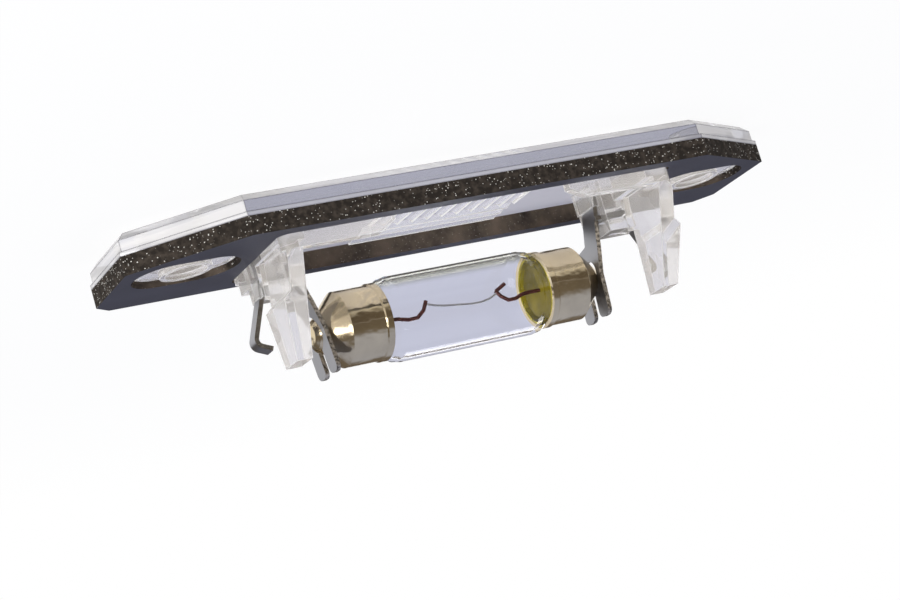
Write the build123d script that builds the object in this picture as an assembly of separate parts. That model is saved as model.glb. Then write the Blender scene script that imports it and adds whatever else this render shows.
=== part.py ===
from build123d import *
import os

os.makedirs("parts", exist_ok=True)

# Outline of the lens and gasket, seen from the mounting side, in millimetres
length = 79.0
width = 21.2
front_straight = 55.4
end_front_drop = 7.4
corner_cut = 2.0
half_length = length / 2
half_width = width / 2
front_corner = front_straight / 2
end_front = end_front_drop - half_width

# Heights: the mounting face of the gasket is at zero and the body side is up
gasket_thickness = 2.1
lens_height = 2.6
flange_height = 0.5
flange_step = 0.3
rim_bevel = 0.8
lens_top = -gasket_thickness
lens_bottom = lens_top - lens_height

# Gasket window, and the openings round the screw pads
window_half = 24.1
front_band = 2.0
back_band = 1.9
window_corner = 1.2
window_front = front_band - half_width
window_back = half_width - back_band
opening_web = 1.65
opening_width = 8.0
opening_length = half_length - window_half - 2 * opening_web
screw_x = (half_length + window_half) / 2
screw_hole_r = 2.3
collar_wall = 0.6
pad_gap = 0.3
pad_drop = 0.7
head_recess_r = 3.9
head_recess_depth = 1.2

# Optic under the bulb: hollow flutes across its front, ridges along its back
optic_margin = 0.8
flute_count = 10
flute_pitch = 1.86
flute_depth = 0.6
flute_rise = 0.5
flute_back = 2.3
ridge_count = 3
ridge_pitch = 1.9
ridge_rise = 0.35

# Festoon bulb, its axis along the lamp
bulb_back = 5.8
bulb_y = half_width - bulb_back
bulb_z = 8.2
cap_r = 4.25
cap_wall = 0.3
bead_rise = 0.15
bead_length = 0.7
cap_start = 10.0
cap_rim = 14.86
cap_tip = 18.2
nose_round = 0.7
nose_flat = 0.25
contact_x = 17.15
contact_hole_r = 2.05
glass_r = 4.81
glass_wall = 0.5
glass_shoulder = 8.2
glass_end = 10.8
shoulder_curve = [(0.5, 0.15), (0.85, 0.55)]
shoulder_inside = (0.45, 0.25)
cement_gap = 0.25
cement_end = 13.2

# Wires inside the bulb: points along the bulb and above its axis
lead_r = 0.22
lead_right_points = [(9.4, 0), (7.6, 0.1), (5.2, 0.4), (4.3, -0.2), (3.6, -1.3)]
lead_left_points = [(-9.4, 0), (-8.2, 0.1), (-6.7, 0.5), (-5.8, 0), (-5.1, -0.9)]
hook_points = [(-5.2, -0.85), (-6.5, -1.5)]
filament_r = 0.12
filament_points = [(3.7, -0.95), (1.7, -0.4), (-0.1, -0.18), (-2.6, 0.06), (-5.2, -0.6)]
wire_steps = 8

# Holder block and front wall, one at each end of the window
fit_gap = 0.2
holder_front = window_front + fit_gap
holder_back = window_back - fit_gap
block_inner = 21.0
ledge_inner = 18.6
block_outer = window_half - fit_gap
block_top = 0.5
block_foot = lens_top - flange_height
wall_inner = 10.7
wall_slope = 1.9
wall_low = 0.4
wall_top = 1.5
wall_thickness = 1.3

# Contact post, stepped down towards the back
post_inner = 19.45
post_reach = 4.2
post_width = 3.6
post_top = 3.9
step_width = 2.4
step_top = 2.1
post_front = bulb_y - post_reach
post_back = post_front + post_width

# Snap leg, its shoulder joined to the post
leg_inset = 0.25
leg_thickness = 1.8
leg_outer = block_outer - leg_inset
leg_inner = leg_outer - leg_thickness
leg_top = 12.2
leg_tip_width = 3.6
leg_back_tip = post_front
leg_front_tip = leg_back_tip - leg_tip_width
leg_root_gap = 1.4
leg_back_root = post_front - leg_root_gap
shoulder_overlap = 0.4
leg_shoulder_y = post_front + shoulder_overlap
leg_shoulder_z = 4.2
leg_step = 1.2
leg_step_rise = 0.4
barb_z = 5.4
barb_rise = 0.7
barb_depth = 0.8

# Spring contact, stamped from strip; widths are measured from the bulb's axis
strip = 0.5
lean_low = 0.23
lean_high = 0.07
neck_front = -2.8
neck_back = 0.2
neck_seat = 0.5
blade_half = 2.9
blade_foot = -1.2
blade_step = 4.3
blade_step_rise = 0.6
blade_top = 13.0
prong_slot = 1.3
prong_tip_r = 0.79
tail_reach = 3.0
tail_front = bulb_y - tail_reach
tail_width = 1.8
tail_foot = 2.4
tail_low = 1.6
tail_out = 22.8
tail_bend_x = 25.7
tail_bend_z = 8.6
tail_end_x = 23.9
tail_end_z = 9.4
tail_bend_r = 0.8


def both_ends(shape):
    return shape + mirror(shape, Plane.YZ)


def bulb_turn(points):
    """Turns a closed profile of (along, radius) pairs about the bulb's axis."""
    profile = make_face(Polyline(*points, close=True))
    return Pos(0, bulb_y, bulb_z) * revolve(profile, Axis.X)


# Outline shared by the lens flange and the gasket
outline = Polygon(
    (-front_corner, -half_width),
    (front_corner, -half_width),
    (half_length, end_front),
    (half_length, half_width - corner_cut),
    (half_length - corner_cut, half_width),
    (corner_cut - half_length, half_width),
    (-half_length, half_width - corner_cut),
    (-half_length, end_front),
    align=None,
)

# Gasket: foam with a window and an opening round each screw pad
window_depth = window_back - window_front
window_mid = (window_back + window_front) / 2
window_shape = Pos(0, window_mid) * RectangleRounded(2 * window_half, window_depth, window_corner)
opening = Pos(screw_x, 0) * SlotOverall(opening_length, opening_width)
gasket_shape = outline - window_shape - both_ends(opening)
gasket = extrude(Pos(0, 0, lens_top) * gasket_shape, gasket_thickness)

# Lens plate: thin flange under the gasket, stepped body with a bevelled rim
body_outline = offset(outline, -flange_step, kind=Kind.INTERSECTION)
body = extrude(Pos(0, 0, lens_bottom) * body_outline, lens_height - flange_height)
body = chamfer(body.edges().group_by(Axis.Z)[0], rim_bevel)
flange = extrude(Pos(0, 0, lens_top - flange_height) * outline, flange_height)
lens = body + flange

# Optic: a raised bed with hollow flutes across its front, and ridges along its back
flute_front = window_front + optic_margin
flute_length = flute_back - flute_front
optic_half = flute_count * flute_pitch / 2
flute_top = lens_top + flute_rise
bed_size = (2 * optic_half, flute_length, flute_rise)
bed = Pos(-optic_half, flute_front, lens_top) * Box(*bed_size, align=Align.MIN)
flute_r = flute_pitch**2 / (8 * flute_depth) + flute_depth / 2
flute_z = flute_top + flute_r - flute_depth
flute = Pos(0, flute_front + flute_length / 2, flute_z) * Rot(90, 0, 0) * Cylinder(flute_r, flute_length)
flutes = [Pos((i - (flute_count - 1) / 2) * flute_pitch, 0, 0) * flute for i in range(flute_count)]
lens = lens + bed - flutes
ridge_shape = Polygon((0, 0), (ridge_pitch, 0), (ridge_pitch, ridge_rise), align=None)
ridge = extrude(Plane.YZ * ridge_shape, optic_half, both=True)
for i in range(ridge_count):
    lens += Pos(0, flute_back + i * ridge_pitch, lens_top) * ridge

# Bulb glass: a tube closed at both necks
inner_r = cap_r - cap_wall
neck_r = inner_r - cement_gap
glass_inner = glass_r - glass_wall
shoulder_length = cap_start - glass_shoulder
shoulder_drop = glass_r - neck_r
shoulder = [
    (glass_shoulder + along * shoulder_length, glass_r - down * shoulder_drop)
    for along, down in shoulder_curve
]
inside_along, inside_down = shoulder_inside
half_glass = [
    (0, glass_r),
    (glass_shoulder, glass_r),
    *shoulder,
    (cap_start, neck_r),
    (glass_end, neck_r),
    (glass_end, 0),
    (glass_end - glass_wall, 0),
    (glass_end - glass_wall, neck_r - glass_wall),
    (cap_start - glass_wall, neck_r - glass_wall),
    (glass_shoulder + inside_along * shoulder_length, glass_inner - inside_down * shoulder_drop),
    (glass_shoulder, glass_inner),
    (0, glass_inner),
]
half_tube = bulb_turn(half_glass)
glass = both_ends(half_tube)

# Bulb cap: drawn sleeve with a beaded lip and a rounded cone that sits in the contact
cone_slope = (cap_r - contact_hole_r) / (cap_rim - contact_x)
nose_x = contact_x + strip
nose_r = contact_hole_r + cone_slope * strip
cap = bulb_turn([
    (cap_start, inner_r),
    (cap_start, cap_r + bead_rise),
    (cap_start + bead_length, cap_r + bead_rise),
    (cap_start + bead_length + bead_rise, cap_r),
    (cap_rim, cap_r),
    (nose_x, nose_r),
    (nose_x + (cap_tip - nose_x) * nose_round, nose_r * nose_round),
    (cap_tip, nose_r * nose_flat),
    (cap_tip, 0),
    (cap_tip - cap_wall, 0),
    (nose_x - cap_wall, nose_r - cap_wall),
    (cap_rim - cap_wall, inner_r),
])
cement = bulb_turn([
    (glass_end, 0),
    (glass_end, neck_r),
    (cap_start, neck_r),
    (cap_start, inner_r),
    (cement_end, inner_r),
    (cement_end, 0),
])

# Spring contact blade: forked, bent a little where it holds the bulb
fork_length = blade_top - bulb_z
blade_shape = Polygon(
    (neck_front, blade_foot),
    (neck_back, blade_foot),
    (neck_back, blade_step),
    (blade_half, blade_step + blade_step_rise),
    (blade_half, blade_top),
    (-blade_half, blade_top),
    (-blade_half, blade_step + blade_step_rise),
    (neck_front, blade_step),
    align=None,
)
blade_shape -= Pos(0, bulb_z + fork_length / 2) * Rectangle(prong_slot, fork_length)
blade_shape -= Pos(0, bulb_z) * Circle(contact_hole_r)
blade_shape = fillet(blade_shape.vertices().group_by(Axis.Y)[-1], prong_tip_r)
blade = Pos(0, bulb_y, 0) * extrude(Plane.YZ * blade_shape, half_length)
blade_x = contact_x + strip / 2
path_foot = blade_foot - strip
path_top = blade_top + strip
lean_path = Polyline(
    (blade_x + lean_low * (bulb_z - path_foot), path_foot),
    (blade_x, bulb_z),
    (blade_x - lean_high * (path_top - bulb_z), path_top),
)
blade &= extrude(Plane.XZ * trace(lean_path, strip), width, both=True)

# Foot running through the post from the blade to a hooked tail
blade_root = blade_x + lean_low * (bulb_z - tail_low)
foot_size = (tail_foot, bulb_y + neck_back - tail_front, strip)
foot = Pos(blade_root - strip / 2, tail_front, tail_low) * Box(*foot_size, align=Align.MIN)
tail_z = tail_low + strip / 2
tail_path = FilletPolyline(
    (blade_root, tail_z),
    (tail_out, tail_z),
    (tail_bend_x, tail_bend_z),
    (tail_end_x, tail_end_z),
    radius=tail_bend_r,
)
tail_shape = Plane.XZ * trace(tail_path, strip)
tail = Pos(0, tail_front, 0) * extrude(tail_shape, -tail_width)
contact = blade + foot + tail - cap

# Holder: block in the end of the window, front wall running on towards the optic, stepped post
holder_depth = holder_back - holder_front
block_size = (block_outer - block_inner, holder_depth, block_top - block_foot)
block = Pos(block_inner, holder_front, block_foot) * Box(*block_size, align=Align.MIN)
wall_shape = Plane.XZ * Polygon(
    (wall_inner, block_foot),
    (block_outer, block_foot),
    (block_outer, wall_top),
    (wall_inner + wall_slope, wall_top),
    (wall_inner, wall_low),
    align=None,
)
wall = Pos(0, holder_front, 0) * extrude(wall_shape, -wall_thickness)
ledge_front = bulb_y + neck_front - neck_seat
ledge_depth = neck_back - neck_front + 2 * neck_seat
ledge_size = (post_inner - ledge_inner, ledge_depth, block_top - lens_top)
ledge = Pos(ledge_inner, ledge_front, lens_top) * Box(*ledge_size, align=Align.MIN)
post_length = block_outer - post_inner
post_size = (post_length, post_width, post_top - lens_top)
post = Pos(post_inner, post_front, lens_top) * Box(*post_size, align=Align.MIN)
step_size = (post_length, step_width, step_top - lens_top)
step = Pos(post_inner, post_back, lens_top) * Box(*step_size, align=Align.MIN)

# Snap leg: a tapering plate with an outward barb
leg_shape = Plane.YZ * Polygon(
    (holder_front, lens_top),
    (leg_back_root, lens_top),
    (leg_shoulder_y, leg_shoulder_z),
    (leg_shoulder_y - leg_step, leg_shoulder_z + leg_step_rise),
    (leg_back_tip, leg_top),
    (leg_front_tip, leg_top),
    (holder_front, wall_top),
    align=None,
)
leg = Pos(leg_inner, 0, 0) * extrude(leg_shape, leg_thickness)
barb_shape = Plane.XZ * Polygon(
    (leg_outer, barb_z),
    (leg_outer + barb_depth, barb_z + barb_rise),
    (leg_outer, leg_top),
    align=None,
)
barb = extrude(barb_shape, width, both=True)
barb &= Pos(leg_outer, 0, 0) * extrude(leg_shape, barb_depth)

# The holder stays within the rounded window and grips the contact
envelope_size = (block_outer - wall_inner, holder_depth, leg_top - block_foot)
envelope = Pos(wall_inner, holder_front, block_foot) * Box(*envelope_size, align=Align.MIN)
envelope = fillet(envelope.edges().filter_by(Axis.Z).group_by(Axis.X)[-1], window_corner)
holder = (block + wall + ledge + post + step + leg) & envelope
holder = holder + barb - contact
lens += both_ends(holder)

# Screw pads inside the gasket openings, with collars up to the mounting face
pad_shape = SlotOverall(opening_length - 2 * pad_gap, opening_width - 2 * pad_gap)
pad = extrude(Pos(screw_x, 0, lens_top) * pad_shape, gasket_thickness - pad_drop)
collar_r = screw_hole_r + collar_wall
collar = Pos(screw_x, 0, lens_top / 2) * Cylinder(collar_r, gasket_thickness)
lens += both_ends(pad + collar)
bore_length = 2 * (gasket_thickness + lens_height)
bore = Pos(screw_x, 0, lens_top) * Cylinder(screw_hole_r, bore_length)
recess_mid = lens_bottom + head_recess_depth / 2
head_recess = Pos(screw_x, 0, recess_mid) * Cylinder(head_recess_r, head_recess_depth)
lens -= both_ends(bore + head_recess)


def wire(points, radius, steps):
    """A round wire along a smooth path, bent in short straight steps."""
    curve = Spline(*[(along, 0, up) for along, up in points])
    path = Polyline(*[curve @ (i / steps) for i in range(steps + 1)])
    section = Plane(path @ 0, z_dir=path % 0) * Circle(radius)
    swept = sweep(section, path=path, transition=Transition.RIGHT)
    return Pos(0, bulb_y, bulb_z) * swept


# Lead wires, held in the cement, and the filament between them
lead_start = (glass_end + cement_end) / 2
lead_right = wire([(lead_start, 0), *lead_right_points], lead_r, wire_steps)
lead_left = wire([(-lead_start, 0), *lead_left_points], lead_r, wire_steps)
lead_left += wire(hook_points, lead_r, 1)
filament = wire(filament_points, filament_r, wire_steps) - lead_right - lead_left
cement_right = cement - lead_right
cement_left = mirror(cement, Plane.YZ) - lead_left
glass = glass - lead_right - lead_left

pieces = {
    "lens": lens,
    "gasket": gasket,
    "contact_right": contact,
    "contact_left": mirror(contact, Plane.YZ),
    "bulb_glass": glass,
    "bulb_cap_right": cap,
    "bulb_cap_left": mirror(cap, Plane.YZ),
    "bulb_cement_right": cement_right,
    "bulb_cement_left": cement_left,
    "lead_wire_right": lead_right,
    "lead_wire_left": lead_left,
    "filament": filament,
}
for name, piece in pieces.items():
    export_step(piece, f"parts/{name}.step")
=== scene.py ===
import math

import bmesh
import bpy
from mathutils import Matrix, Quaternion, Vector


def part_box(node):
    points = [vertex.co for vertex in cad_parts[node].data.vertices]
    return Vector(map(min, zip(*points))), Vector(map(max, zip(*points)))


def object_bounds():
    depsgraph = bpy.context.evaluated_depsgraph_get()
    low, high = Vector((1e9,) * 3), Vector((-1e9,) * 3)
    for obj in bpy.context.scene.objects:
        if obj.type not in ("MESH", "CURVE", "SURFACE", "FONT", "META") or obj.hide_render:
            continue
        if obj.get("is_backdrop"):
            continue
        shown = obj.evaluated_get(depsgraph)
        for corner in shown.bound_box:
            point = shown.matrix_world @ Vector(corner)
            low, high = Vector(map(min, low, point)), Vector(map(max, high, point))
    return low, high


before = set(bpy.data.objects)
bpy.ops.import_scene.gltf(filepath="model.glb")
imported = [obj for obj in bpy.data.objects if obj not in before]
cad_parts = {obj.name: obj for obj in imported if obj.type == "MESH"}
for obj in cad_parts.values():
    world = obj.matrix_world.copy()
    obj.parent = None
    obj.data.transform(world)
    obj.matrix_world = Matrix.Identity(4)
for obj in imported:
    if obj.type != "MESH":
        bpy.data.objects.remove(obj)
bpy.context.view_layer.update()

bl_info = {
    "name": "Number plate lamp",
    "version": (1, 0, 0),
    "blender": (4, 5, 0),
    "location": "3D View > Sidebar > Lamp",
    "description": "Finishes and stage for a number plate lamp with a festoon bulb",
    "category": "Object",
}

MM = 0.001
WHITE = (1.0, 1.0, 1.0, 1.0)


class Value:
    """A shader socket that takes part in Python arithmetic."""

    def __init__(self, shader, socket):
        self.shader = shader
        self.socket = socket

    def maths(self, operation, first, second=0.0):
        return self.shader.node("ShaderNodeMath", {"operation": operation}, {0: first, 1: second})

    def __add__(self, other):
        return self.maths("ADD", self, other)

    def __radd__(self, other):
        return self.maths("ADD", other, self)

    def __rsub__(self, other):
        return self.maths("SUBTRACT", other, self)

    def __mul__(self, other):
        return self.maths("MULTIPLY", self, other)

    def __rmul__(self, other):
        return self.maths("MULTIPLY", other, self)

    def __neg__(self):
        return self.maths("MULTIPLY", self, -1.0)

    def __gt__(self, other):
        return self.maths("GREATER_THAN", self, other)

    def __lt__(self, other):
        return self.maths("LESS_THAN", self, other)

    def __abs__(self):
        return self.maths("ABSOLUTE", self)

    def either(self, other):
        return self.maths("MAXIMUM", self, other)


class Shader:
    """Builds the node tree of one material or of the world."""

    def __init__(self, owner):
        owner.use_nodes = True
        self.tree = owner.node_tree
        self.tree.nodes.clear()

    def node(self, kind, settings=None, inputs=None, output=0):
        """Adds a node, sets it up, links or sets its sockets and gives one output."""
        made = self.tree.nodes.new(kind)
        for key, setting in (settings or {}).items():
            if key == "stops":
                self.set_stops(made.color_ramp, setting)
            else:
                setattr(made, key, setting)
        for key, value in (inputs or {}).items():
            if isinstance(value, Value):
                self.tree.links.new(value.socket, made.inputs[key])
            else:
                made.inputs[key].default_value = value
        return Value(self, made.outputs[output]) if made.outputs else None

    def set_stops(self, ramp, stops):
        while len(ramp.elements) < len(stops):
            ramp.elements.new(1.0)
        for element, (position, colour) in zip(ramp.elements, stops):
            element.position = position
            element.color = colour

    def axes(self, vector):
        split = self.tree.nodes.new("ShaderNodeSeparateXYZ")
        self.tree.links.new(vector.socket, split.inputs[0])
        return [Value(self, split.outputs[i]) for i in range(3)]

    def place(self):
        return self.node("ShaderNodeTexCoord", output="Object")

    def facing(self):
        return self.axes(self.node("ShaderNodeTexCoord", output="Normal"))

    def grain(self, scale, detail=2.0, stretch=(1, 1, 1)):
        """Noise on the object's own coordinates, scale in features per metre."""
        where = self.node("ShaderNodeMapping", {}, {"Vector": self.place(), "Scale": stretch})
        return self.node("ShaderNodeTexNoise", {}, {"Vector": where, "Scale": scale, "Detail": detail})

    def blend(self, factor, first, second):
        settings = {"data_type": "RGBA", "blend_type": "MIX"}
        return self.node("ShaderNodeMix", settings, {0: factor, 6: first, 7: second}, output=2)

    def ramp(self, value, low, high):
        """Zero below low, one above high."""
        settings = {"clamp": True}
        return self.node("ShaderNodeMapRange", settings, {0: value, 1: low, 2: high, 3: 0.0, 4: 1.0})

    def measure(self, operation, *vectors):
        """A number worked out from one or two vectors."""
        inputs = dict(enumerate(vectors))
        return self.node("ShaderNodeVectorMath", {"operation": operation}, inputs, output="Value")

    def rounded(self, radius, samples=4):
        """The surface's direction with its edges rounded."""
        return self.node("ShaderNodeBevel", {"samples": samples}, {"Radius": radius})

    def bump(self, height, distance, strength=1.0, normal=None):
        inputs = {"Height": height, "Distance": distance, "Strength": strength}
        if normal:
            inputs["Normal"] = normal
        return self.node("ShaderNodeBump", {}, inputs)

    def ray(self, kind):
        return self.node("ShaderNodeLightPath", output=kind)

    def glow(self, colour):
        return self.node("ShaderNodeEmission", {}, {"Color": colour, "Strength": 1.0})

    def mix(self, factor, first, second):
        return self.node("ShaderNodeMixShader", {}, {0: factor, 1: first, 2: second})

    def surface(self, **sockets):
        names = {key.replace("_", " "): value for key, value in sockets.items()}
        return self.node("ShaderNodeBsdfPrincipled", {}, names)

    def finish(self, surface, kind="ShaderNodeOutputMaterial"):
        self.node(kind, {}, {"Surface": surface})

    def finish_clear(self, surface, colour):
        """Ends the tree of a clear piece, which lets light through in its own colour."""
        open_way = self.node("ShaderNodeBsdfTransparent", {}, {"Color": rgba(colour)})
        self.finish(self.mix(self.ray("Is Shadow Ray"), surface, open_way))


def rgba(colour):
    return (colour[0], colour[1], colour[2], 1.0)


def toned(colour, share):
    return rgba([share * part for part in colour])


def new_material(name):
    material = bpy.data.materials.new(name)
    return material, Shader(material)


def dress(material, *nodes):
    for name in nodes:
        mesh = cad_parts[name].data
        mesh.materials.clear()
        mesh.materials.append(material)


def colour_property(name, description, default):
    return bpy.props.FloatVectorProperty(
        name=name, description=description, default=default, subtype="COLOR", size=3, min=0.0, max=1.0
    )


def place_property(name, description, default):
    return bpy.props.FloatVectorProperty(
        name=name, description=description, default=default, subtype="XYZ", size=3, unit="LENGTH"
    )


def power_property(name, description, default):
    return bpy.props.FloatProperty(name=name, description=description, default=default, unit="POWER")


class LampFinish(bpy.types.PropertyGroup):
    """Colours of the lamp's pieces."""

    plastic: colour_property("Clear plastic", "Tint of the moulded lens", (0.97, 0.975, 0.98))
    plastic_shade: colour_property("Plastic shade", "Second tint of the moulded lens", (0.93, 0.935, 0.95))
    holder_milk: colour_property("Holder haze", "Warm haze of the holders and legs", (0.97, 0.92, 0.84))
    # Partly real haze, partly painted shade: the lens plate gets a darker, cooler tone than the holders of
    # the same moulding.
    plate_haze_and_shade: colour_property("Plate haze", "Cool haze of the lens plate", (0.47, 0.47, 0.58))
    # Painted shade: a dark tone laid on the plate's upright walls.
    wall_painted_shade: colour_property("Wall haze", "Dark haze of the plate's upright walls", (0.17, 0.165, 0.225))
    # Painted highlight: a pale tone laid on the plate's bevel, flange and ends.
    rim_painted_highlight: colour_property("Rim haze", "Pale bevel and ends of the lens plate", (0.95, 0.93, 0.90))
    # Painted highlight: pale lines along the sharp edges of the holders and legs.
    edge_painted_highlight: colour_property("Edge haze", "Pale edges of the holders and legs", (0.98, 0.97, 0.95))
    # Painted shade: dark lines along the lens plate's edges.
    edge_shade: colour_property("Edge shade", "Dark lines along the plate's edges", (0.07, 0.065, 0.085))
    foam_cut: colour_property("Foam cut edge", "Dark tone of the cut foam", (0.026, 0.021, 0.017))
    foam_pore: colour_property("Foam pores", "Lighter tone of the cut foam", (0.062, 0.050, 0.040))
    # Painted glints: bright specks on the cut foam.
    foam_speck_glint: colour_property("Foam specks", "Bright specks on the cut foam", (0.95, 0.92, 0.84))
    foam_inner: colour_property("Foam inner wall", "Smoother wall inside the window", (0.13, 0.10, 0.075))
    foam_skin: colour_property("Foam skin", "Smooth mounting face of the foam", (0.056, 0.056, 0.070))
    spring: colour_property("Plated spring", "Plated faces of the contacts", (0.35, 0.35, 0.37))
    spring_cut: colour_property("Spring cut edge", "Bare edges of the contacts", (0.62, 0.55, 0.45))
    glass: colour_property("Glass", "Tint of the bulb's glass", (0.985, 0.985, 0.99))
    glass_wave: colour_property("Glass waves", "Second tint of the glass", (0.955, 0.96, 0.975))
    # Partly the glass's own tint seen edge-on, partly painted shade: a dark reflection laid on the lower
    # half of the glass's edges only.
    glass_edge_shade: colour_property("Glass wall", "Glass wall seen edge-on", (0.60, 0.60, 0.53))
    glass_shadow: colour_property("Glass shadow", "Light that the glass lets through", (0.97, 0.97, 0.98))
    cap: colour_property("Cap", "Warm plating of the bulb caps", (0.77, 0.64, 0.42))
    cap_dull: colour_property("Cap, duller", "Duller patches of the plating", (0.60, 0.50, 0.34))
    cement: colour_property("Cement", "Cement in the caps", (0.60, 0.50, 0.02))
    cement_dark: colour_property("Cement, darker", "Darker patches of the cement", (0.26, 0.20, 0.012))
    lead: colour_property("Lead wire", "Oxidised lead wires", (0.075, 0.020, 0.016))
    filament: colour_property("Filament", "Bare filament", (0.42, 0.41, 0.40))


class LampStage(bpy.types.PropertyGroup):
    """Camera, floor and lights."""

    lens: bpy.props.FloatProperty(
        name="Lens", description="Focal length on a 36 mm film", default=96.0, min=10.0
    )
    eye: place_property("Camera", "Place of the camera", (0.1186, -0.2309, 0.0571))
    target: place_property("Target", "Point in the middle of the picture", (0.00125, 0.00363, 0.00757))
    roll: bpy.props.FloatProperty(
        name="Roll", description="Turn of the camera about its line of sight",
        default=math.radians(163.53), subtype="ANGLE",
    )
    floor_size: bpy.props.FloatProperty(
        name="Floor size", description="Width of the floor", default=40.0, unit="LENGTH"
    )
    paper: colour_property("Floor", "Colour of the floor", (0.92, 0.92, 0.92))
    # Painted reflection: a dark tone that the floor in front of the lamp shows only in mirrors.
    shade: colour_property("Floor shade", "Near floor as mirrored in shiny pieces", (0.12, 0.10, 0.08))
    backdrop: colour_property("Backdrop", "Floor as seen through the clear pieces", (0.58, 0.59, 0.70))
    key_power: power_property("Key light", "Power of the large soft light", 1.1)
    back_power: power_property("Back light", "Power of the light behind", 0.7)
    side_power: power_property("Side light", "Power of the small light mirrored in the caps", 0.16)
    sky: bpy.props.FloatProperty(name="Sky", description="Strength of the surroundings", default=1.0)


class LampOperator:
    """What the lamp's operators share."""

    bl_options = {"REGISTER", "UNDO"}

    def colours(self, context):
        return context.scene.lamp_finish


class OBJECT_OT_lamp_lens(LampOperator, bpy.types.Operator):
    """Gives the moulded lens its clear plastic"""

    bl_idname = "object.lamp_lens"
    bl_label = "Clear lens"

    REFRACTION = 1.49
    CLOUDS = 90.0
    RIPPLES = 240.0
    RIPPLE_DEPTH = 0.02 * MM
    RIPPLE_STRENGTH = 0.25
    STREAKS = 1100.0
    STREAK_STRETCH = (0.06, 0.06, 1.0)
    STREAK_RANGE = (0.38, 0.58)
    LEAST_ROUGH = 0.015
    CLOUD_ROUGH = 0.05
    CORNER_ROUND = 0.12 * MM
    EDGE_ROUND = 0.2 * MM
    PLATE_BLUR = 0.1 * MM
    FLANGE_HEIGHT = 0.5 * MM
    UPRIGHT = 0.3
    BEVEL_TURN = (0.3, 0.5)
    FACE_TURN = (0.85, 0.95)
    END_TURN = (0.2, 0.4)
    EDGE_TURN = (0.005, 0.05)
    BEVEL_SHARE = 0.7
    FLANGE_SHARE = 0.35
    END_SHARE = 0.9
    LEAST_HAZE = 0.17
    CLOUD_HAZE = 0.14
    PLATE_HAZE_AND_SHADE = 0.24
    RIM_HIGHLIGHT = 0.10
    STREAK_HIGHLIGHT = 0.34
    EVEN_CHALK = 0.5
    RIM_CHALK = 0.85
    PALE_EDGE = 0.45
    DARK_EDGE = 0.9

    def haze(self, shader, colour, chalk=EVEN_CHALK):
        """Cloudy plastic that scatters light both ways, the share of chalk back to its source."""
        milky = shader.node("ShaderNodeBsdfTranslucent", {}, {"Color": rgba(colour)})
        chalky = shader.node("ShaderNodeBsdfDiffuse", {}, {"Color": rgba(colour)})
        return shader.mix(chalk, milky, chalky)

    def clear(self, shader, look, cloud):
        """Polished plastic with faint ripples."""
        ripples = shader.grain(self.RIPPLES, 1.0)
        corners = shader.rounded(self.CORNER_ROUND)
        return shader.surface(
            Base_Color=shader.blend(cloud, rgba(look.plastic), rgba(look.plastic_shade)),
            Roughness=self.LEAST_ROUGH + self.CLOUD_ROUGH * cloud,
            IOR=self.REFRACTION,
            Transmission_Weight=1.0,
            Normal=shader.bump(ripples, self.RIPPLE_DEPTH, self.RIPPLE_STRENGTH, corners),
        )

    def plate_masks(self, shader):
        """Where the lens plate, its upright walls, and its bevel, flange and ends are; the walls take
        painted shade, the bevel, flange and ends a painted highlight.
        """
        height = shader.axes(shader.place())[2]
        along, _, up = shader.facing()
        down = -up
        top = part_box("gasket")[0][2]
        plate = shader.ramp(-height, -top - self.PLATE_BLUR, -top + self.PLATE_BLUR)
        wall = plate * (abs(down) < self.UPRIGHT)
        bevel = shader.ramp(down, *self.BEVEL_TURN) * (1.0 - shader.ramp(down, *self.FACE_TURN))
        flange = wall * (height > top - self.FLANGE_HEIGHT)
        ends = wall * shader.ramp(abs(along), *self.END_TURN)
        rim = self.BEVEL_SHARE * bevel
        rim = rim.either(self.FLANGE_SHARE * flange)
        rim = rim.either(self.END_SHARE * ends)
        return plate, wall, rim

    def edges(self, shader):
        """One along the sharp edges, zero on the faces."""
        flat = shader.node("ShaderNodeNewGeometry", output="True Normal")
        turned = shader.measure("DOT_PRODUCT", shader.rounded(self.EDGE_ROUND), flat)
        return shader.ramp(1.0 - abs(turned), *self.EDGE_TURN)

    def execute(self, context):
        look = self.colours(context)
        material, shader = new_material("clear_plastic")
        cloud = shader.grain(self.CLOUDS, 3.0)
        plate, wall, rim = self.plate_masks(shader)
        # the plate's darker, cooler haze is partly painted shade
        haze = shader.mix(plate, self.haze(shader, look.holder_milk), self.haze(shader, look.plate_haze_and_shade))
        # painted shade on the plate's upright walls
        haze = shader.mix(wall, haze, self.haze(shader, look.wall_painted_shade))
        # painted highlight on the plate's bevel, flange and ends, in streaks where the streak noise is
        # high
        haze = shader.mix(rim, haze, self.haze(shader, look.rim_painted_highlight, self.RIM_CHALK))
        highlight_streak = shader.ramp(shader.grain(self.STREAKS, 1.0, self.STREAK_STRETCH), *self.STREAK_RANGE)
        depth = self.LEAST_HAZE + self.CLOUD_HAZE * cloud + self.PLATE_HAZE_AND_SHADE * plate
        depth = depth + rim * (self.RIM_HIGHLIGHT + self.STREAK_HIGHLIGHT * highlight_streak)
        body = shader.mix(depth, self.clear(shader, look, cloud), haze)
        edge = self.edges(shader)
        # painted highlight along the holders' and legs' edges
        highlit_edges = self.PALE_EDGE * edge * (1.0 - plate)
        # painted shade along the plate's edges
        dark = self.DARK_EDGE * edge * plate
        body = shader.mix(highlit_edges, body, self.haze(shader, look.edge_painted_highlight))
        body = shader.mix(dark, body, self.haze(shader, look.edge_shade))
        shader.finish_clear(body, look.plastic)
        dress(material, "lens")
        return {"FINISHED"}


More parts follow.
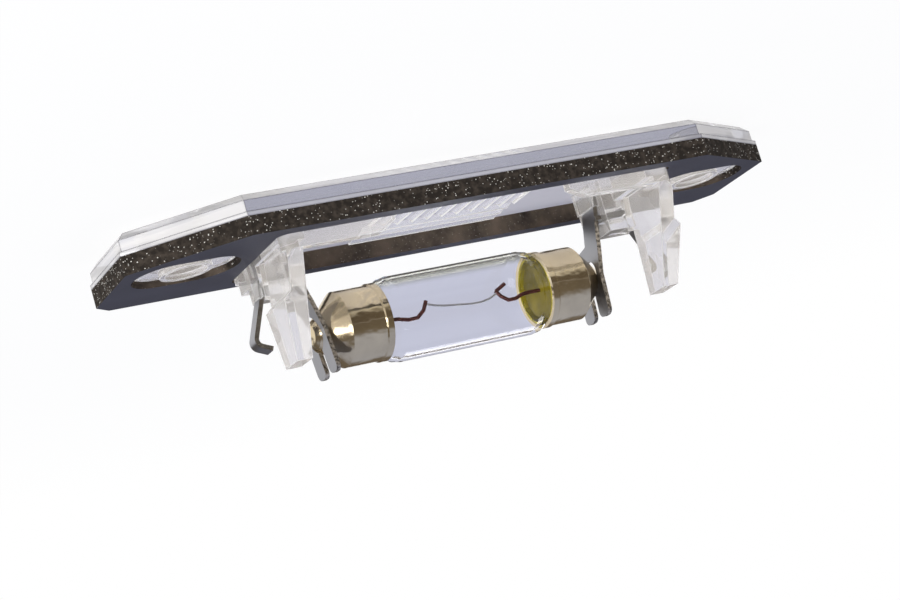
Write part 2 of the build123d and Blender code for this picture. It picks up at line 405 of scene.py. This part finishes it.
class OBJECT_OT_lamp_gasket(LampOperator, bpy.types.Operator):
    """Gives the gasket cut foam edges and a smooth skin"""

    bl_idname = "object.lamp_gasket"
    bl_label = "Foam gasket"

    PORES = 1500.0
    PORE_RANGE = (0.42, 0.68)
    BLOTCHES = 260.0
    BLOTCH_RANGE = (0.3, 0.7)
    INNER_TURN = (0.5, 0.7)
    SKIN_TURN = (0.80, 0.90)
    SPECKS = 6000.0
    SPECK_SIZE = 0.36
    SPECK_RARITY = 0.88
    INNER_SPECK_LOSS = 0.7
    SKIN_SPREAD = (0.8, 1.2)
    CUT_ROUGH = 0.9
    SKIN_GLOSS = 0.42
    SKIN_BLOTCH = 0.12
    BLOTCH_RELIEF = 0.15
    RELIEF_DEPTH = 0.12 * MM
    RELIEF_STRENGTH = 0.8
    SHEEN = 0.12

    def specks(self, shader):
        """Small bright dots in a few of many cells, painted glints on the cut foam."""
        cells = {"Vector": shader.place(), "Scale": self.SPECKS}
        middle = shader.node("ShaderNodeTexVoronoi", {}, cells)
        chance = shader.axes(shader.node("ShaderNodeTexVoronoi", {}, cells, output="Color"))[0]
        return (middle < self.SPECK_SIZE) * shader.ramp(chance, self.SPECK_RARITY, 1.0)

    def execute(self, context):
        look = self.colours(context)
        material, shader = new_material("foam")
        pores = shader.grain(self.PORES, 4.0)
        blotch = shader.grain(self.BLOTCHES, 2.0)
        _, depth, rise = shader.facing()
        inner = shader.ramp(-depth, *self.INNER_TURN) * (shader.axes(shader.place())[1] > 0.0)
        skin = shader.ramp(abs(rise), *self.SKIN_TURN)
        open_pores = shader.ramp(pores, *self.PORE_RANGE)
        cut = shader.blend(open_pores, rgba(look.foam_cut), rgba(look.foam_pore))
        specks = self.specks(shader) * (1.0 - self.INNER_SPECK_LOSS * inner)
        cut = shader.blend(specks, cut, rgba(look.foam_speck_glint))
        stains = inner * shader.ramp(blotch, *self.BLOTCH_RANGE)
        cut = shader.blend(stains, cut, rgba(look.foam_inner))
        dark, light = self.SKIN_SPREAD
        smooth = shader.blend(blotch, toned(look.foam_skin, dark), toned(look.foam_skin, light))
        relief = pores * (1.0 - skin) + self.BLOTCH_RELIEF * blotch
        shader.finish(shader.surface(
            Base_Color=shader.blend(skin, cut, smooth),
            Roughness=self.CUT_ROUGH - self.SKIN_GLOSS * skin + self.SKIN_BLOTCH * blotch * skin,
            Normal=shader.bump(relief, self.RELIEF_DEPTH, self.RELIEF_STRENGTH),
            Specular_IOR_Level=self.SHEEN,
        ))
        dress(material, "gasket")
        return {"FINISHED"}


class OBJECT_OT_lamp_contacts(LampOperator, bpy.types.Operator):
    """Gives the spring contacts plated faces and rough cut edges"""

    bl_idname = "object.lamp_contacts"
    bl_label = "Spring contacts"

    BLADE_LEAN = 1.9 * MM
    EDGE_TURN = 0.7
    BLADE_TURN = 0.5
    TEARS = 2600.0
    TEAR_RANGE = (0.38, 0.62)
    TORN_TONE = 0.22
    FOOT_TONE = 0.30
    CLOUDS = 350.0
    CLOUD_SPREAD = (0.85, 1.1)
    CLOUD_RELIEF = 0.05
    RELIEF_DEPTH = 0.06 * MM
    RELIEF_STRENGTH = 0.7

    def execute(self, context):
        look = self.colours(context)
        material, shader = new_material("plated_spring")
        across, depth, _ = shader.facing()
        along = shader.axes(shader.place())[0]
        blade = abs(along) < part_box("contact_right")[0][0] + self.BLADE_LEAN
        edge = (abs(depth) > self.EDGE_TURN).either(blade * (abs(across) < self.BLADE_TURN))
        torn = shader.ramp(shader.grain(self.TEARS, 3.0), *self.TEAR_RANGE)
        bright = shader.blend(blade, toned(look.spring_cut, self.FOOT_TONE), rgba(look.spring_cut))
        bare = shader.blend(torn, toned(look.spring_cut, self.TORN_TONE), bright)
        cloud = shader.grain(self.CLOUDS, 3.0)
        dark, light = self.CLOUD_SPREAD
        plated = shader.blend(cloud, toned(look.spring, dark), toned(look.spring, light))
        relief = torn * edge + self.CLOUD_RELIEF * cloud
        shader.finish(shader.surface(
            Base_Color=shader.blend(edge, plated, bare),
            Metallic=1.0 - 0.1 * edge,
            Roughness=0.30 + 0.10 * cloud + 0.12 * edge,
            Normal=shader.bump(relief, self.RELIEF_DEPTH, self.RELIEF_STRENGTH),
        ))
        dress(material, "contact_right", "contact_left")
        return {"FINISHED"}


class OBJECT_OT_lamp_bulb(LampOperator, bpy.types.Operator):
    """Gives the bulb its glass, plated caps, cement and wires"""

    bl_idname = "object.lamp_bulb"
    bl_label = "Festoon bulb"

    GLASS_WAVES = 60.0
    WAVE_STRETCH = (0.3, 1.0, 1.0)
    GLASS_REFRACTION = 1.05
    GLASS_COAT = 0.4
    COAT_ROUGH = 0.02
    REFLECTION_TURN = (0.40, 0.55)
    REFLECTION_BLUR = 1.0 * MM
    CAP_PATCHES = 220.0
    PATCH_RANGE = (0.35, 0.7)
    CAP_TURNING = 900.0
    TURNING_STRETCH = (1.0, 0.08, 0.08)
    TURNING_DEPTH = 0.006 * MM
    TURNING_STRENGTH = 0.35
    CAP_DENTS = 550.0
    DENT_STRETCH = (0.7, 1.0, 1.0)
    DENT_DEPTH = 0.25 * MM
    DENT_STRENGTH = 0.6
    CEMENT_LUMPS = 700.0
    LUMP_DEPTH = 0.1 * MM
    LUMP_STRENGTH = 0.6
    LEAD_SCALE = 900.0
    LEAD_SPREAD = (0.5, 1.4)
    FILAMENT_COIL = 2500.0
    FILAMENT_SHADE = 0.6

    def glass(self, look):
        material, shader = new_material("bulb_glass")
        waves = shader.grain(self.GLASS_WAVES, 1.0, self.WAVE_STRETCH)
        tint = shader.blend(waves, rgba(look.glass), rgba(look.glass_wave))
        low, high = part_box("bulb_glass")
        depth = 0.5 * (low[2] + high[2]) - shader.axes(shader.place())[2]
        # painted shade: dark reflection on the glass edges, on the lower half only
        grazing = shader.node("ShaderNodeLayerWeight", {}, {"Blend": 0.5}, output="Facing")
        dark_edge_reflection = shader.ramp(grazing, *self.REFLECTION_TURN) * shader.ramp(depth, 0.0, self.REFLECTION_BLUR)
        clear = shader.surface(
            Base_Color=shader.blend(dark_edge_reflection, tint, rgba(look.glass_edge_shade)),
            Roughness=0.004 + 0.006 * waves,
            IOR=self.GLASS_REFRACTION,
            Transmission_Weight=1.0,
            Coat_Weight=self.GLASS_COAT,
            Coat_Roughness=self.COAT_ROUGH,
        )
        shader.finish_clear(clear, look.glass_shadow)
        dress(material, "bulb_glass")

    def caps(self, look):
        material, shader = new_material("cap_metal")
        patch = shader.grain(self.CAP_PATCHES, 4.0)
        dull = shader.ramp(patch, *self.PATCH_RANGE)
        turning = shader.grain(self.CAP_TURNING, 2.0, self.TURNING_STRETCH)
        dents = shader.grain(self.CAP_DENTS, 2.0, self.DENT_STRETCH)
        relief = shader.bump(turning, self.TURNING_DEPTH, self.TURNING_STRENGTH)
        shader.finish(shader.surface(
            Base_Color=shader.blend(dull, rgba(look.cap), rgba(look.cap_dull)),
            Metallic=1.0,
            Roughness=0.09 + 0.08 * patch + 0.06 * turning,
            Normal=shader.bump(dents, self.DENT_DEPTH, self.DENT_STRENGTH, relief),
        ))
        dress(material, "bulb_cap_right", "bulb_cap_left")

    def cement(self, look):
        material, shader = new_material("cement")
        lumps = shader.grain(self.CEMENT_LUMPS, 3.0)
        shader.finish(shader.surface(
            Base_Color=shader.blend(lumps, rgba(look.cement_dark), rgba(look.cement)),
            Roughness=0.55 + 0.2 * lumps,
            Normal=shader.bump(lumps, self.LUMP_DEPTH, self.LUMP_STRENGTH),
        ))
        dress(material, "bulb_cement_right", "bulb_cement_left")

    def leads(self, look):
        material, shader = new_material("lead_wire")
        scale = shader.grain(self.LEAD_SCALE, 3.0)
        dark, light = self.LEAD_SPREAD
        shader.finish(shader.surface(
            Base_Color=shader.blend(scale, toned(look.lead, dark), toned(look.lead, light)),
            Metallic=0.4 + 0.3 * scale,
            Roughness=0.35 + 0.2 * scale,
        ))
        dress(material, "lead_wire_right", "lead_wire_left")

    def filament(self, look):
        material, shader = new_material("filament_wire")
        coil = shader.grain(self.FILAMENT_COIL, 2.0)
        shade = toned(look.filament, self.FILAMENT_SHADE)
        shader.finish(shader.surface(
            Base_Color=shader.blend(coil, shade, rgba(look.filament)),
            Metallic=0.8,
            Roughness=0.35 + 0.2 * coil,
        ))
        dress(material, "filament")

    def execute(self, context):
        look = self.colours(context)
        self.glass(look)
        self.caps(look)
        self.cement(look)
        self.leads(look)
        self.filament(look)
        return {"FINISHED"}


class OBJECT_OT_lamp_stage(LampOperator, bpy.types.Operator):
    """Sets the floor, lights, surroundings and camera"""

    bl_idname = "object.lamp_stage"
    bl_label = "Stage"

    MIDDLE = (0.0, 0.0, 0.005)
    KEY_PLACE = (0.25, -0.25, 0.30)
    KEY_SIZE = (0.30, 0.20)
    BACK_PLACE = (-0.25, 0.30, 0.22)
    BACK_SIZE = (0.30, 0.15)
    SIDE_PLACE = (0.25, -0.125, 0.035)
    SIDE_SIZE = (0.10, 0.06)
    SKY_STOPS = [
        (0.50, (0.40, 0.39, 0.42, 1)),
        (0.54, (0.14, 0.12, 0.10, 1)),
        (0.75, (0.17, 0.15, 0.13, 1)),
        (0.84, (0.44, 0.49, 0.67, 1)),
    ]
    FILM_WIDTH = 36.0
    NEAREST = 5 * MM
    NEAR_GLOW = 0.92
    GLOW_REACH = (60 * MM, 160 * MM)
    MIRROR_REACH = (-30 * MM, -14 * MM)
    MIRRORED_BACKDROP = 0.4

    def floor(self, settings):
        mesh = bpy.data.meshes.new("floor")
        shape = bmesh.new()
        bmesh.ops.create_grid(shape, x_segments=1, y_segments=1, size=settings.floor_size / 2)
        bmesh.ops.translate(shape, vec=(0, 0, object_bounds()[0][2]), verts=shape.verts)
        shape.to_mesh(mesh)
        shape.free()
        mesh.materials.append(self.paper(settings))
        floor = bpy.data.objects.new("floor", mesh)
        bpy.context.collection.objects.link(floor)
        floor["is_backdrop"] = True

    def paper(self, settings):
        """White paper that keeps a shadow; in mirrors its part in front of the lamp shows a painted dark
        reflection, and behind clear pieces it shows the backdrop tone.
        """
        material, shader = new_material("paper")
        matt = shader.node("ShaderNodeBsdfDiffuse", {}, {"Color": rgba(settings.paper)})
        through = shader.ray("Is Transmission Ray")
        hidden = through.either(shader.ray("Is Shadow Ray"))
        reach = shader.measure("LENGTH", shader.place())
        far = shader.ramp(reach, *self.GLOW_REACH)
        share = self.NEAR_GLOW + (1.0 - self.NEAR_GLOW) * far
        bright = shader.mix((1.0 - hidden) * share, matt, shader.glow(WHITE))
        # painted reflection: in mirrors the floor in front of the lamp shows the dark shade tone, white
        # further back
        lit = shader.ramp(shader.axes(shader.place())[1], *self.MIRROR_REACH)
        mirrored = shader.glow(shader.blend(lit, rgba(settings.shade), WHITE))
        seen = shader.mix(shader.ray("Is Glossy Ray"), bright, mirrored)
        straight = shader.ray("Glossy Depth") < 0.5
        share = self.MIRRORED_BACKDROP + (1.0 - self.MIRRORED_BACKDROP) * straight
        shader.finish(shader.mix(through * share, seen, shader.glow(rgba(settings.backdrop))))
        return material

    def light(self, name, place, size, power, mirrored=False):
        data = bpy.data.lights.new(name, "AREA")
        data.shape = "RECTANGLE"
        data.size, data.size_y = size
        data.energy = power
        lamp = bpy.data.objects.new(name, data)
        lamp.location = place
        lamp.rotation_euler = (Vector(self.MIDDLE) - Vector(place)).to_track_quat("-Z", "Y").to_euler()
        lamp.visible_glossy = mirrored
        bpy.context.collection.objects.link(lamp)

    def sky(self, settings):
        world = bpy.data.worlds.new("studio")
        bpy.context.scene.world = world
        shader = Shader(world)
        height = shader.axes(shader.node("ShaderNodeTexCoord", output="Generated"))[2]
        tone = shader.node("ShaderNodeValToRGB", {"stops": self.SKY_STOPS}, {0: 0.5 + 0.5 * height})
        glow = shader.node("ShaderNodeBackground", {}, {"Color": tone, "Strength": settings.sky})
        shader.finish(glow, "ShaderNodeOutputWorld")

    def camera(self, settings):
        data = bpy.data.cameras.new("camera")
        data.sensor_width = self.FILM_WIDTH
        data.lens = settings.lens
        data.clip_start = self.NEAREST
        camera = bpy.data.objects.new("camera", data)
        camera.location = settings.eye
        sight = Vector(settings.target) - Vector(settings.eye)
        turn = sight.to_track_quat("-Z", "Y") @ Quaternion((0, 0, 1), settings.roll)
        camera.rotation_euler = turn.to_euler()
        bpy.context.collection.objects.link(camera)
        bpy.context.scene.camera = camera

    def execute(self, context):
        settings = context.scene.lamp_stage
        self.floor(settings)
        self.light("key", self.KEY_PLACE, self.KEY_SIZE, settings.key_power)
        self.light("back", self.BACK_PLACE, self.BACK_SIZE, settings.back_power)
        self.light("side", self.SIDE_PLACE, self.SIDE_SIZE, settings.side_power, mirrored=True)
        self.sky(settings)
        self.camera(settings)
        context.scene.view_settings.view_transform = "Standard"
        return {"FINISHED"}


class VIEW3D_PT_lamp(bpy.types.Panel):
    """Lists the lamp's operators and settings"""

    bl_idname = "VIEW3D_PT_lamp"
    bl_label = "Number plate lamp"
    bl_space_type = "VIEW_3D"
    bl_region_type = "UI"
    bl_category = "Lamp"

    def draw(self, context):
        for operator in OPERATORS:
            self.layout.operator(operator.bl_idname)
        for group in (context.scene.lamp_finish, context.scene.lamp_stage):
            for name in group.__annotations__:
                self.layout.prop(group, name)


OPERATORS = (
    OBJECT_OT_lamp_lens,
    OBJECT_OT_lamp_gasket,
    OBJECT_OT_lamp_contacts,
    OBJECT_OT_lamp_bulb,
    OBJECT_OT_lamp_stage,
)
CLASSES = (LampFinish, LampStage) + OPERATORS + (VIEW3D_PT_lamp,)


def register():
    for item in CLASSES:
        bpy.utils.register_class(item)
    bpy.types.Scene.lamp_finish = bpy.props.PointerProperty(type=LampFinish)
    bpy.types.Scene.lamp_stage = bpy.props.PointerProperty(type=LampStage)


def unregister():
    del bpy.types.Scene.lamp_stage
    del bpy.types.Scene.lamp_finish
    for item in reversed(CLASSES):
        bpy.utils.unregister_class(item)


def main():
    register()
    bpy.ops.object.lamp_lens()
    bpy.ops.object.lamp_gasket()
    bpy.ops.object.lamp_contacts()
    bpy.ops.object.lamp_bulb()
    bpy.ops.object.lamp_stage()


if __name__ == "__main__":
    main()
